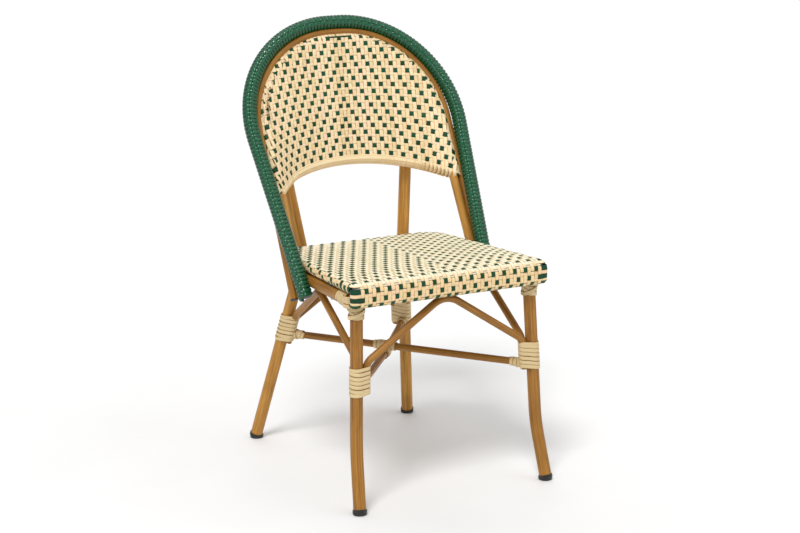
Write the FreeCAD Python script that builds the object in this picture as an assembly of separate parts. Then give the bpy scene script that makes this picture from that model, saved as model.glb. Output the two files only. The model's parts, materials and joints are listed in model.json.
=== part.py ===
"""Bistro stacking chair: a bent and welded aluminium tube frame with cane-look finish,
a woven strip seat and back, and strip lashings over the joints.

Frame: +Z up, the sitter faces -Y, left and right are the sitter's (+X is left), origin on
the floor under the centre of the chair.  Millimetres.
"""

import FreeCAD
import Part
import math
import os

from FreeCAD import Vector

# --- tube sizes -------------------------------------------------------------------
LEG_R = 12.5            # legs and seat rails
BRACE_R = 7.3           # arch braces and cross stretchers
HOOP_R = 12.0           # bare outer hoop, under its plaited wrap
RING_R = 8.0            # bead ring behind the hoop
INNER_R = 9.0           # hoop that carries the woven back
PANEL_R = 8.0           # frame inside the woven seat
TUBE_WALL = 1.5
LASH_THICK = 2.6        # binding strips round the joints
WEAVE_THICK = 2.5       # woven strips over a tube
CLEAR = 0.15            # running gap between a tube and what is wrapped round it

# --- legs (left side, mirrored for the right) ----------------------------------------
GLIDE_TOP = 10.0
FRONT_LEG = [Vector(211, -262.5, GLIDE_TOP), Vector(203, -235.0, 118), Vector(192, -217, 427)]
FRONT_LEG_BEND = 300.0
REAR_LEG = [Vector(184, 262.5, GLIDE_TOP), Vector(117, 163, 408), Vector(171.5, 232.5, 802)]
REAR_LEG_BEND = 90.0

# --- seat ------------------------------------------------------------------------
SEAT_FRONT_Y = -252.0
SEAT_FRONT_TOP = 450.0
SEAT_FRONT_HALF = 219.0
SEAT_REAR_Y = 138.0
SEAT_REAR_HALF = 183.0
SEAT_FALL = 0.028           # drop per millimetre towards the rear
SEAT_FRONT_CORNER = 20.0
SEAT_REAR_CORNER = 46.0
SEAT_SHEET = 4.0
BAND_DEPTH = 47.0           # height of the woven front band
SEAT_PAD = 3.0              # spacers between the seat panel and the rails
PANEL_SKIN = PANEL_R + WEAVE_THICK
RAIL_DROP = 2 * PANEL_SKIN + SEAT_PAD + LEG_R
SIDE_RAIL_INSET = 9.5        # rail axis, in from the seat's edge
SIDE_RAIL_Y = (-217.0, 95.0)
SIDE_RAIL_BEND = 45.0
REAR_RAIL_HALF = 117.5      # where the side rails meet the rear legs
REAR_RAIL_Y = 164.0
APRON_INSET = 4.0           # the apron bar's ends, in from the panel's corners

# --- back ------------------------------------------------------------------------
HOOP_LEAN = math.radians(29.92)
HOOP_FOOT = Vector(209.6, -34.2, 381)
HOOP_HEIGHT = 574.0         # along the leaning plane, foot to crown
HOOP_SPLAY = math.radians(4.76)
HOOP_BEND = 224.3
HOOP_WRAP = 2.0

RING_LEAN = math.radians(27.0)
RING_CROWN_Y = 242.8
RING_CROWN_Z = 858.4
RING_HALF = 217.5
RING_BEND = 203.9
RING_SPLAY = math.radians(0.6)   # the feet stand a little wider than the arch
RING_LENGTH = 548.0         # along its plane, crown to foot

INNER_GAP = RING_R + INNER_R + WEAVE_THICK + 0.4
INNER_SPLAY = math.radians(1.1)
INNER_FOOT_Z = 409.0

CROSSBAR_CENTRE = Vector(0, 192.7, 601.0)
CROSSBAR_RADIUS = 262.0
CROSSBAR_PITCH = math.radians(21.0)
BACK_SHEET = 4.5            # thickness of the woven back
BACK_SHEET_FORWARD = 4.0    # its rear face, ahead of the tubes' axes
BACK_SHEET_STEPS = 24

# --- fittings --------------------------------------------------------------------
BOLT_R = 2.5
BOLT_HEAD_R = 5.0
HOOP_BOLT_Z = 407.0
RING_BOLT_Z = 403.0
SPACER_R = 6.0
SCREW_R = 2.0
SCREW_HEAD_R = 4.0
SEAT_SCREW_Y = (-130.0, 75.0)
BOLT_HEAD = 3.0
SCREW_HEAD = 2.5
BOLT_BITE = 5.0             # how far a bolt reaches into the tube it holds
REAR_PLUG_Z = 770.0         # where the plug in the top of a rear leg starts
REAR_PLUG_CROWN = 1.5
GLIDE_R = LEG_R + 1.5
GLIDE_ROUND = 2.5
GLIDE_SKIRT = 6.0
GLIDE_STEM = 14.0
PLUG_CAP = 2.5
PLUG_STEM = 10.0

# --- braces ----------------------------------------------------------------------
BRACE_OFFSET = LEG_R + BRACE_R + CLEAR
BRACE_KNEE_BEND = 28.0
FRONT_ARCH_CROWN = Vector(0, -223, 402.8)
FRONT_ARCH_BEND = 50.0
REAR_ARCH_CROWN = Vector(0, 180, 360)
REAR_ARCH_BEND = 45.0
SIDE_ARCH_CROWN = Vector(185, -45, 393)
SIDE_ARCH_BEND = 30.0
ARCH_FOOT_Z = 228.0
ARCH_KNEE_Z = 288.0
REAR_ARCH_KNEE_Z = 272.0
STRETCHER_GAP = 0.4         # between the two stretchers where they cross
UPPER_FRONT_Z = 235.0
UPPER_REAR_Z = 241.0
LOWER_END_Z = 236.0
STRETCHER_SET = 7.0         # how far inside a leg's outline a stretcher's axis starts
LOWER_STRETCHER_BEND = 400.0
FRONT_ARCH_SIDE = (-1, 0)           # where each brace end lies against its left-hand leg
REAR_ARCH_SIDE = (-1, 0.15)
SIDE_ARCH_FRONT_SIDE = (-0.6, 0.8)
SIDE_ARCH_REAR_SIDE = (-0.3, -0.95)
LASH_LOW = 225.0
LASH_HIGH = 282.0
FRONT_SPUR = 44.0
REAR_SPUR = 50.0
CROSS_LASH_REACH = 24.0
SEAT_LASH_LOW = 373.0
SEAT_LASH_HIGH = 424.0
SEAT_LASH_REACH = 46.0      # along the side rail, from the front leg's axis


# ------------------------------------------------------------------------ helpers

def rounded_path(points, radius):
    """Straight runs joined by tangent arcs; radius is one value or one per corner."""
    radii = radius if isinstance(radius, list) else [radius] * (len(points) - 2)
    edges = []
    start = points[0]
    for i, bend in enumerate(radii):
        corner = points[i + 1]
        into = (corner - points[i]).normalize()
        out = (points[i + 2] - corner).normalize()
        turn = into.getAngle(out)
        reach = bend * math.tan(turn / 2)
        first = corner - into * reach
        last = corner + out * reach
        inward = (out - into).normalize()
        middle = corner + inward * (bend / math.cos(turn / 2) - bend)
        edges.append(Part.makeLine(start, first))
        edges.append(Part.Arc(first, middle, last).toShape())
        start = last
    edges.append(Part.makeLine(start, points[-1]))
    return Part.Wire(edges)


def start_of(path):
    """A path's first point, and its direction there."""
    edge = path.Edges[0]
    return edge.valueAt(edge.FirstParameter), edge.tangentAt(edge.FirstParameter)


def rod(path, radius):
    """Solid round bar along a path."""
    profile = Part.Wire([Part.makeCircle(radius, *start_of(path))])
    return path.makePipeShell([profile], True, False)


def tube(path, radius, wall=TUBE_WALL):
    """Hollow round tube along a path, open at both ends."""
    return rod(path, radius).cut(rod(path, radius - wall))


def bar(start, end, radius):
    """Solid straight bar between two points."""
    return Part.makeCylinder(radius, (end - start).Length, start, end - start)


def mirrored(shape):
    """The same shape on the right-hand side."""
    return shape.mirror(Vector(0, 0, 0), Vector(1, 0, 0))


def flip(point):
    return Vector(-point.x, point.y, point.z)


def biggest(shape):
    """The largest solid of a cut result, so no stray slivers are kept."""
    return max(shape.Solids, key=lambda solid: solid.Volume)


def between_x(a, b, x):
    """The point at a given x on the line from a to b."""
    return a + (b - a) * ((x - a.x) / (b.x - a.x))


def between(a, b, z):
    """The point at height z on the line from a to b."""
    return a + (b - a) * ((z - a.z) / (b.z - a.z))


def front_leg_at(z):
    return between(FRONT_LEG[1], FRONT_LEG[2], z)


def rear_leg_at(z):
    return between(REAR_LEG[0], REAR_LEG[1], z)


def seat_top(y):
    return SEAT_FRONT_TOP - SEAT_FALL * (y - SEAT_FRONT_Y)


def seat_half(y):
    share = (y - SEAT_FRONT_Y) / (SEAT_REAR_Y - SEAT_FRONT_Y)
    return SEAT_FRONT_HALF + share * (SEAT_REAR_HALF - SEAT_FRONT_HALF)


def rail_height(y):
    """Height of a seat rail's axis."""
    return seat_top(y) - RAIL_DROP


# ----------------------------------------------------------------------- legs, rails

def front_leg_path():
    return rounded_path(FRONT_LEG, FRONT_LEG_BEND)


def rear_leg_path():
    return rounded_path(REAR_LEG, REAR_LEG_BEND)


def side_rail_path():
    """From the back of the front leg to the outer front of the rear leg."""
    points = [Vector(seat_half(y) - SIDE_RAIL_INSET, y, rail_height(y)) for y in SIDE_RAIL_Y]
    points.append(Vector(REAR_RAIL_HALF, REAR_RAIL_Y, rail_height(REAR_RAIL_Y)))
    return rounded_path(points, SIDE_RAIL_BEND)


def straight_path(end):
    """A line from an end on the left to its mirror on the right."""
    return Part.Wire([Part.makeLine(end, flip(end))])


def front_rail_path():
    leg_top = FRONT_LEG[2]
    return straight_path(Vector(leg_top.x, leg_top.y, rail_height(leg_top.y)))


def rear_rail_path():
    return straight_path(Vector(REAR_RAIL_HALF, REAR_RAIL_Y, rail_height(REAR_RAIL_Y)))


# -------------------------------------------------------------------------- back hoops

def leaning(lean, foot_y, foot_z, half, along):
    """A point of a leaning plane, from its half width and distance up the plane."""
    return Vector(half, foot_y + along * math.sin(lean), foot_z + along * math.cos(lean))


def arch_path(lean, foot_y, foot_z, foot_half, height, splay, bend):
    """Two legs and a round crown, left foot to right foot, in one leaning plane."""
    crown_half = foot_half + height * math.tan(splay)
    foot = leaning(lean, foot_y, foot_z, foot_half, 0)
    crown = leaning(lean, foot_y, foot_z, crown_half, height)
    return rounded_path([foot, crown, flip(crown), flip(foot)], bend)


def arch_leg_at(lean, foot, splay, z):
    """The point at height z on a hoop's left leg."""
    along = (z - foot.z) / math.cos(lean)
    return Vector(foot.x + along * math.tan(splay), foot.y + along * math.sin(lean), z)


def hoop_leg_at(z):
    return arch_leg_at(HOOP_LEAN, HOOP_FOOT, HOOP_SPLAY, z)


def ring_foot():
    return Vector(RING_HALF + (RING_LENGTH - RING_BEND) * math.tan(RING_SPLAY),
                  RING_CROWN_Y - RING_LENGTH * math.sin(RING_LEAN),
                  RING_CROWN_Z - RING_LENGTH * math.cos(RING_LEAN))


def ring_leg_at(z):
    return arch_leg_at(RING_LEAN, ring_foot(), -RING_SPLAY, z)


def hoop_path():
    return arch_path(HOOP_LEAN, HOOP_FOOT.y, HOOP_FOOT.z, HOOP_FOOT.x,
                     HOOP_HEIGHT, HOOP_SPLAY, HOOP_BEND)


def ring_path():
    foot = ring_foot()
    return arch_path(RING_LEAN, foot.y, foot.z, foot.x, RING_LENGTH, -RING_SPLAY, RING_BEND)


def inner_path(foot_z=INNER_FOOT_Z):
    """The hoop inside the bead ring; it can be cut short at a chosen height."""
    crown_y = RING_CROWN_Y - INNER_GAP * math.sin(RING_LEAN)
    crown_z = RING_CROWN_Z - INNER_GAP * math.cos(RING_LEAN)
    length = (crown_z - foot_z) / math.cos(RING_LEAN)
    straight = length - (RING_BEND - INNER_GAP)
    foot_half = RING_HALF - INNER_GAP + straight * math.tan(INNER_SPLAY)
    foot_y = crown_y - length * math.sin(RING_LEAN)
    return arch_path(RING_LEAN, foot_y, foot_z, foot_half, length,
                     -INNER_SPLAY, RING_BEND - INNER_GAP)


def crossbar_point(x):
    """The lower bar bows backwards in a plane that falls towards the front."""
    depth = CROSSBAR_RADIUS - math.sqrt(CROSSBAR_RADIUS ** 2 - x ** 2)
    back = Vector(0, -math.cos(CROSSBAR_PITCH), -math.sin(CROSSBAR_PITCH))
    return CROSSBAR_CENTRE + Vector(x, 0, 0) + back * depth


def crossbar_path(reach):
    ends = crossbar_point(reach), crossbar_point(0), crossbar_point(-reach)
    return Part.Wire([Part.Arc(*ends).toShape()])


# ---------------------------------------------------------------------------- braces

def arch_brace_path(foot_a, knee_a, crown, knee_b, foot_b, crown_bend):
    bends = [BRACE_KNEE_BEND, crown_bend, BRACE_KNEE_BEND]
    return rounded_path([foot_a, knee_a, crown, knee_b, foot_b], bends)


def beside(leg_at, z, side):
    """A point on the axis of a brace that lies against a leg, on the side (dx, dy)."""
    along = (leg_at(z + 1) - leg_at(z)).normalize()
    outward = Vector(side[0], side[1], 0)
    outward = outward - along * outward.dot(along)
    return leg_at(z) + outward.normalize() * BRACE_OFFSET


def front_arch_path():
    foot = beside(front_leg_at, ARCH_FOOT_Z, FRONT_ARCH_SIDE)
    knee = beside(front_leg_at, ARCH_KNEE_Z, FRONT_ARCH_SIDE)
    return arch_brace_path(foot, knee, FRONT_ARCH_CROWN, flip(knee), flip(foot), FRONT_ARCH_BEND)


def rear_arch_path():
    foot = beside(rear_leg_at, ARCH_FOOT_Z, REAR_ARCH_SIDE)
    knee = beside(rear_leg_at, REAR_ARCH_KNEE_Z, REAR_ARCH_SIDE)
    return arch_brace_path(foot, knee, REAR_ARCH_CROWN, flip(knee), flip(foot), REAR_ARCH_BEND)


def side_arch_path():
    front_foot = beside(front_leg_at, ARCH_FOOT_Z, SIDE_ARCH_FRONT_SIDE)
    front_knee = beside(front_leg_at, ARCH_KNEE_Z, SIDE_ARCH_FRONT_SIDE)
    rear_foot = beside(rear_leg_at, ARCH_FOOT_Z, SIDE_ARCH_REAR_SIDE)
    rear_knee = beside(rear_leg_at, ARCH_KNEE_Z, SIDE_ARCH_REAR_SIDE)
    return arch_brace_path(
        front_foot, front_knee, SIDE_ARCH_CROWN, rear_knee, rear_foot, SIDE_ARCH_BEND)


def upper_stretcher_points():
    """From the left front leg to the right rear leg."""
    return front_leg_at(UPPER_FRONT_Z), flip(rear_leg_at(UPPER_REAR_Z))


def lower_stretcher_points():
    """From the right front leg to the left rear leg, bowed down under the upper one."""
    front = flip(front_leg_at(LOWER_END_Z))
    rear = rear_leg_at(LOWER_END_Z)
    over = between_x(*upper_stretcher_points(), 0)
    return front, Vector(0, over.y, over.z - 2 * BRACE_R - STRETCHER_GAP), rear


def upper_stretcher_path():
    front, rear = upper_stretcher_points()
    along = (rear - front).normalize()
    return Part.Wire([Part.makeLine(front + along * STRETCHER_SET, rear - along * STRETCHER_SET)])


def lower_stretcher_path():
    front, middle, rear = lower_stretcher_points()
    start = front + (middle - front).normalize() * STRETCHER_SET
    end = rear + (middle - rear).normalize() * STRETCHER_SET
    return rounded_path([start, middle, end], LOWER_STRETCHER_BEND)


# ------------------------------------------------------------------------ woven parts

def seat_outline(inset):
    """Corner points of the seat, inset from its edge, on the sloping seat plane."""
    points = []
    for y in (SEAT_FRONT_Y + inset, SEAT_REAR_Y - inset):
        points.append((seat_half(y) - inset, y))
    corners = [points[0], points[1], (-points[1][0], points[1][1]), (-points[0][0], points[0][1])]
    return corners


def seat_loop(inset, drop):
    """A closed rounded loop below the seat surface, starting at the front centre."""
    front_left, rear_left, rear_right, front_right = [
        Vector(x, y, seat_top(y) - drop) for x, y in seat_outline(inset)]
    front_bend = SEAT_FRONT_CORNER - inset / 2
    rear_bend = SEAT_REAR_CORNER - inset / 2
    middle = (front_left + front_right) * 0.5
    points = [middle, front_left, rear_left, rear_right, front_right, middle]
    return rounded_path(points, [front_bend, rear_bend, rear_bend, front_bend])


def seat_sheet():
    """The woven surface between the frame tubes."""
    face = Part.Face(seat_loop(PANEL_SKIN, 0))
    return face.extrude(Vector(0, 0, -SEAT_SHEET))


def apron_bar_path():
    """Lower front bar of the seat panel, which holds the bottom of the front band."""
    y = SEAT_FRONT_Y + PANEL_SKIN
    z = SEAT_FRONT_TOP - BAND_DEPTH + PANEL_SKIN
    return straight_path(Vector(seat_half(y) - PANEL_SKIN - APRON_INSET, y, z))


def seat_panel_path():
    return seat_loop(PANEL_SKIN, PANEL_SKIN)


def seat_weave_block():
    """Sheet, rolled edges and front band as one body, before the tubes are taken out."""
    apron = apron_bar_path()
    low = apron.Edges[0].valueAt(0)
    high_z = seat_top(low.y) - PANEL_SKIN
    band = Part.makeBox(2 * low.x, 2 * PANEL_SKIN, high_z - low.z,
                        Vector(-low.x, low.y - PANEL_SKIN, low.z))
    block = rod(seat_panel_path(), PANEL_SKIN).fuse([seat_sheet(), rod(apron, PANEL_SKIN), band])
    for side in (1, -1):
        end = Vector(side * low.x, low.y, low.z)
        top = Vector(side * low.x, low.y, high_z)
        block = block.fuse([Part.makeSphere(PANEL_SKIN, end), bar(end, top, PANEL_SKIN)])
    return block.removeSplitter()


def back_sheet():
    """Woven surface from the crown of the inner hoop down to the bowed lower bar."""
    bend = RING_BEND - INNER_GAP
    flat_half = RING_HALF - RING_BEND
    crown_y = RING_CROWN_Y - INNER_GAP * math.sin(RING_LEAN)
    crown_z = RING_CROWN_Z - INNER_GAP * math.cos(RING_LEAN)
    shares = [i / BACK_SHEET_STEPS for i in range(BACK_SHEET_STEPS + 1)]
    tops = []
    lows = []
    for share in shares:
        turn = math.pi * (share - 0.5)
        x = flat_half * (2 * share - 1) + bend * math.sin(turn)
        fall = bend * (1 - math.cos(turn))
        y = crown_y - fall * math.sin(RING_LEAN)
        z = crown_z - fall * math.cos(RING_LEAN)
        tops.append(Vector(x, y, z))
        lows.append(crossbar_point(x))
    curves = []
    for points in (tops, lows):
        curve = Part.BSplineCurve()
        curve.interpolate(Points=points, Parameters=shares)
        curves.append(curve.toShape())
    face = Part.makeRuledSurface(curves[0], curves[1])
    forward = Vector(0, -math.cos(RING_LEAN), math.sin(RING_LEAN))
    face.translate(forward * BACK_SHEET_FORWARD)
    return face.extrude(forward * BACK_SHEET)


def back_weave_block():
    """Woven back with its rolled edges, before the tubes are taken out."""
    skin = INNER_R + WEAVE_THICK
    reach = RING_HALF - INNER_GAP
    edge = rod(inner_path(crossbar_point(reach).z - INNER_R), skin)
    lower = rod(crossbar_path(reach), skin)
    return edge.fuse([lower, back_sheet()])


# --------------------------------------------------------------------------- lashings

def collar(start, end, radius):
    """Outer shape of a winding round a straight stretch of tube."""
    return bar(start, end, radius + LASH_THICK)


def spur(start, end, length):
    """The short wound stretch that runs out along a stretcher."""
    along = (end - start).normalize()
    return start + along * STRETCHER_SET, start + along * length


def leg_lashing(leg_at, brace_sides, spur_ends):
    """Strip winding round a leg, the brace ends beside it and the start of a stretcher."""
    parts = [collar(*spur_ends, BRACE_R)]
    for side in brace_sides:
        low = beside(leg_at, LASH_LOW, side)
        high = beside(leg_at, LASH_HIGH, side)
        parts.append(collar(low, high, BRACE_R))
    return collar(leg_at(LASH_LOW), leg_at(LASH_HIGH), LEG_R).fuse(parts)


def crossing_lashing():
    """Winding that ties the two stretchers together where they cross."""
    front, rear = upper_stretcher_points()
    across = between_x(front, rear, 0)
    lower_front, middle, lower_rear = lower_stretcher_points()
    along = (rear - front).normalize() * CROSS_LASH_REACH
    lower_along = (lower_rear - lower_front).normalize() * CROSS_LASH_REACH
    upper = collar(across - along, across + along, BRACE_R)
    return upper.fuse(collar(middle - lower_along, middle + lower_along, BRACE_R))


# --------------------------------------------------------------------------- hardware

def glide(leg_path):
    """Round-edged plastic foot, pushed into the leg's lower end."""
    foot, along = start_of(leg_path)
    sole = Vector(foot.x, foot.y, 0)
    shoe = Part.makeCylinder(GLIDE_R, GLIDE_TOP, sole)
    shoe = shoe.makeFillet(GLIDE_ROUND, [edge for edge in shoe.Edges if edge.BoundBox.ZMax < 1])
    skirt = bar(foot - along * GLIDE_SKIRT, foot, GLIDE_R)
    stem = bar(foot - along * GLIDE_SKIRT, foot + along * GLIDE_STEM, LEG_R - TUBE_WALL - CLEAR)
    body = shoe.fuse([skirt, stem])
    above_sole = Part.makeCylinder(2 * GLIDE_R, GLIDE_TOP + GLIDE_STEM, sole)
    leg = rod(leg_path, 2 * GLIDE_R).cut(rod(leg_path, LEG_R - TUBE_WALL - CLEAR))
    return biggest(body.common(above_sole).cut(leg))


def end_plug(path, radius):
    """Flat cap on a tube's first end, with a stem inside the bore."""
    foot, along = start_of(path)
    cap = bar(foot - along * PLUG_CAP, foot, radius)
    stem = bar(foot, foot + along * PLUG_STEM, radius - TUBE_WALL - CLEAR)
    return cap.fuse(stem)


def cross_bolt(x_head, x_tip, y, z):
    """Bolt along X with its head at x_head, against the inner side of a rail."""
    shank = bar(Vector(x_head, y, z), Vector(x_tip, y, z), BOLT_R)
    head = bar(Vector(x_head - BOLT_HEAD, y, z), Vector(x_head, y, z), BOLT_HEAD_R)
    return shank.fuse(head)


def back_bolts():
    """One bolt from each side rail into the hoop, and one through a spacer into the ring."""
    bolts = []
    held = ((hoop_leg_at(HOOP_BOLT_Z), HOOP_R), (ring_leg_at(RING_BOLT_Z), RING_R))
    for centre, radius in held:
        rail_x = seat_half(centre.y) - SIDE_RAIL_INSET
        tip_x = centre.x - radius + BOLT_BITE
        bolts.append(cross_bolt(rail_x - LEG_R, tip_x, centre.y, centre.z))
    return bolts


def ring_spacer():
    """Sleeve on the ring's bolt that fills the space from the rail to the ring."""
    centre = ring_leg_at(RING_BOLT_Z)
    return bar(Vector(seat_half(centre.y) - SIDE_RAIL_INSET, centre.y, centre.z), centre, SPACER_R)


def seat_fixings():
    """Pads between the side rails and the seat panel, and the screws up through them."""
    pads = []
    screws = []
    for y in SEAT_SCREW_Y:
        x = seat_half(y) - SIDE_RAIL_INSET
        rail = Vector(x, y, rail_height(y))
        panel = Vector(x, y, seat_top(y) - PANEL_SKIN)
        under = rail - Vector(0, 0, LEG_R)
        pads.append(bar(rail, panel, SPACER_R))
        shank = bar(under, panel - Vector(0, 0, SCREW_R), SCREW_R)
        screws.append(shank.fuse(bar(under - Vector(0, 0, SCREW_HEAD), under, SCREW_HEAD_R)))
    return pads, screws


# --------------------------------------------------------------------------- assembly

def build_frame():
    """The welded tubes, each cut to fit the ones it meets."""
    front_leg = rod(front_leg_path(), LEG_R)
    rear_leg = rod(rear_leg_path(), LEG_R)
    ring = rod(ring_path(), RING_R)
    inner = rod(inner_path(), INNER_R)
    hoop_cover = rod(hoop_path(), HOOP_R + HOOP_WRAP)
    side_rail = rod(side_rail_path(), LEG_R)
    both_rails = [side_rail, mirrored(side_rail)]
    both_rear = [rear_leg, mirrored(rear_leg)]

    frame = {}
    frame["front_leg_left"] = tube(front_leg_path(), LEG_R)
    frame["rear_leg_left"] = biggest(
        tube(rear_leg_path(), LEG_R).cut([ring, inner, hoop_cover]))
    frame["side_rail_left"] = biggest(
        tube(side_rail_path(), LEG_R).cut([front_leg, rear_leg, hoop_cover, ring]))
    for name in ("front_leg", "rear_leg", "side_rail"):
        frame[name + "_right"] = mirrored(frame[name + "_left"])
    frame["front_rail"] = biggest(
        tube(front_rail_path(), LEG_R).cut([front_leg, mirrored(front_leg)] + both_rails))
    frame["rear_rail"] = biggest(tube(rear_rail_path(), LEG_R).cut(both_rear + both_rails))
    frame["back_hoop"] = tube(hoop_path(), HOOP_R)
    frame["bead_ring"] = tube(ring_path(), RING_R)
    frame["inner_hoop"] = biggest(tube(inner_path(), INNER_R).cut(both_rails))
    frame["back_crossbar"] = biggest(
        tube(crossbar_path(RING_HALF - INNER_GAP), INNER_R).cut([inner]))
    return frame


def build_braces():
    """Arch braces and cross stretchers between the legs."""
    braces = {
        "front_arch": tube(front_arch_path(), BRACE_R),
        "rear_arch": tube(rear_arch_path(), BRACE_R),
        "side_arch_left": tube(side_arch_path(), BRACE_R),
    }
    braces["side_arch_right"] = mirrored(braces["side_arch_left"])
    legs = [rod(front_leg_path(), LEG_R), rod(rear_leg_path(), LEG_R)]
    legs += [mirrored(leg) for leg in legs]
    side_arch = rod(side_arch_path(), BRACE_R)
    arches = [rod(front_arch_path(), BRACE_R), rod(rear_arch_path(), BRACE_R),
              side_arch, mirrored(side_arch)]
    for name, path in (("upper", upper_stretcher_path()), ("lower", lower_stretcher_path())):
        braces["stretcher_" + name] = biggest(tube(path, BRACE_R).cut(legs + arches))
    return braces


def build_woven():
    """Seat panel frame, woven seat and woven back."""
    panel = rod(seat_panel_path(), PANEL_R)
    apron = rod(apron_bar_path(), PANEL_R)
    rear_leg = rod(rear_leg_path(), LEG_R)
    woven = {
        "seat_panel_frame": tube(seat_panel_path(), PANEL_R),
        "seat_apron_bar": tube(apron_bar_path(), PANEL_R),
        "seat_weave": biggest(seat_weave_block().cut([panel, apron])),
    }
    ring = rod(ring_path(), RING_R)
    inner = rod(inner_path(), INNER_R)
    crossbar = rod(crossbar_path(RING_HALF - INNER_GAP), INNER_R)
    tubes = [inner, crossbar, ring, rear_leg, mirrored(rear_leg)]
    woven["back_weave"] = biggest(back_weave_block().cut(tubes))
    return woven


def build_lashings():
    """Binding strips at the leg tops, half way down the legs and where the stretchers cross."""
    wrapped = [rod(front_leg_path(), LEG_R), rod(rear_leg_path(), LEG_R),
               rod(side_rail_path(), LEG_R), rod(side_arch_path(), BRACE_R)]
    wrapped += [mirrored(shape) for shape in wrapped]
    wrapped += [rod(front_rail_path(), LEG_R), rod(front_arch_path(), BRACE_R),
                rod(rear_arch_path(), BRACE_R), rod(upper_stretcher_path(), BRACE_R),
                rod(lower_stretcher_path(), BRACE_R), seat_weave_block()]

    upper_front, upper_rear = upper_stretcher_points()
    lower_front, lower_middle, lower_rear = lower_stretcher_points()
    front_sides = [FRONT_ARCH_SIDE, SIDE_ARCH_FRONT_SIDE]
    rear_sides = [REAR_ARCH_SIDE, SIDE_ARCH_REAR_SIDE]
    shapes = {
        "lashing_front_left": leg_lashing(
            front_leg_at, front_sides, spur(upper_front, upper_rear, FRONT_SPUR)),
        "lashing_front_right": mirrored(leg_lashing(
            front_leg_at, front_sides, spur(flip(lower_front), flip(lower_middle), FRONT_SPUR))),
        "lashing_rear_left": leg_lashing(
            rear_leg_at, rear_sides, spur(lower_rear, lower_middle, REAR_SPUR)),
        "lashing_rear_right": mirrored(leg_lashing(
            rear_leg_at, rear_sides, spur(flip(upper_rear), flip(upper_front), REAR_SPUR))),
        "lashing_crossing": crossing_lashing(),
    }
    rail_start, rail_along = start_of(side_rail_path())
    corner = collar(front_leg_at(SEAT_LASH_LOW), front_leg_at(SEAT_LASH_HIGH), LEG_R)
    corner = corner.fuse(collar(rail_start, rail_start + rail_along * SEAT_LASH_REACH, LEG_R))
    shapes["lashing_seat_left"] = corner
    shapes["lashing_seat_right"] = mirrored(corner)
    return {name: biggest(shape.cut(wrapped)) for name, shape in shapes.items()}


def both_sides(shapes):
    return Part.Compound(shapes + [mirrored(shape) for shape in shapes])


def build_feet_and_plugs():
    """Feet under the legs, and plugs in the open ends of the tubes."""
    fittings = {}
    for name, path in (("front", front_leg_path()), ("rear", rear_leg_path())):
        fittings["glide_%s_left" % name] = glide(path)
        fittings["glide_%s_right" % name] = mirrored(fittings["glide_%s_left" % name])
    for name, path, radius in (("hoop", hoop_path(), HOOP_R), ("ring", ring_path(), RING_R)):
        fittings[name + "_end_plugs"] = both_sides([end_plug(path, radius)])
    along = (REAR_LEG[2] - REAR_LEG[1]).normalize()
    low = between(REAR_LEG[1], REAR_LEG[2], REAR_PLUG_Z)
    plug = bar(low, REAR_LEG[2] + along * REAR_PLUG_CROWN, LEG_R - TUBE_WALL - CLEAR)
    plug = biggest(plug.cut([rod(ring_path(), RING_R), rod(inner_path(), INNER_R + WEAVE_THICK),
                             rod(hoop_path(), HOOP_R + HOOP_WRAP)]))
    fittings["rear_leg_plugs"] = both_sides([plug])
    return fittings


def add_fixings(nodes):
    """Screws, bolts, pads and spacers, with the holes that they need."""
    pads, screws = seat_fixings()
    bolts = back_bolts()
    rail = rod(side_rail_path(), LEG_R)
    drills = screws + bolts + [mirrored(shape) for shape in screws + bolts]
    for name in ("seat_weave", "seat_panel_frame", "back_hoop", "hoop_wrap", "bead_ring"):
        nodes[name] = biggest(nodes[name].cut(drills))
    for side in ("left", "right"):
        nodes["side_rail_" + side] = biggest(nodes["side_rail_" + side].cut(drills))
    nodes["seat_screws"] = both_sides(screws)
    nodes["back_bolts"] = both_sides(bolts)
    nodes["seat_pads"] = both_sides(
        [biggest(pad.cut([rail, seat_weave_block()] + screws)) for pad in pads])
    spacer = ring_spacer().cut([rail, rod(ring_path(), RING_R)] + bolts)
    nodes["ring_spacers"] = both_sides([biggest(spacer)])


def build():
    nodes = build_frame()
    nodes.update(build_braces())
    nodes.update(build_woven())
    nodes["hoop_wrap"] = rod(hoop_path(), HOOP_R + HOOP_WRAP).cut(rod(hoop_path(), HOOP_R))
    nodes.update(build_lashings())
    nodes.update(build_feet_and_plugs())
    add_fixings(nodes)
    return nodes


def main():
    os.makedirs("parts", exist_ok=True)
    for name, shape in build().items():
        shape.exportStep("parts/%s.step" % name)
        print("%-22s solids %d  volume %.0f  valid %s" % (
            name, len(shape.Solids), shape.Volume, shape.isValid()))


main()
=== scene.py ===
"""Looks of the woven bistro chair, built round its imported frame.

Lengths are in millimetres in the frame's own axes, and become metres where a mesh is made.
"""

import json
import math

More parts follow.
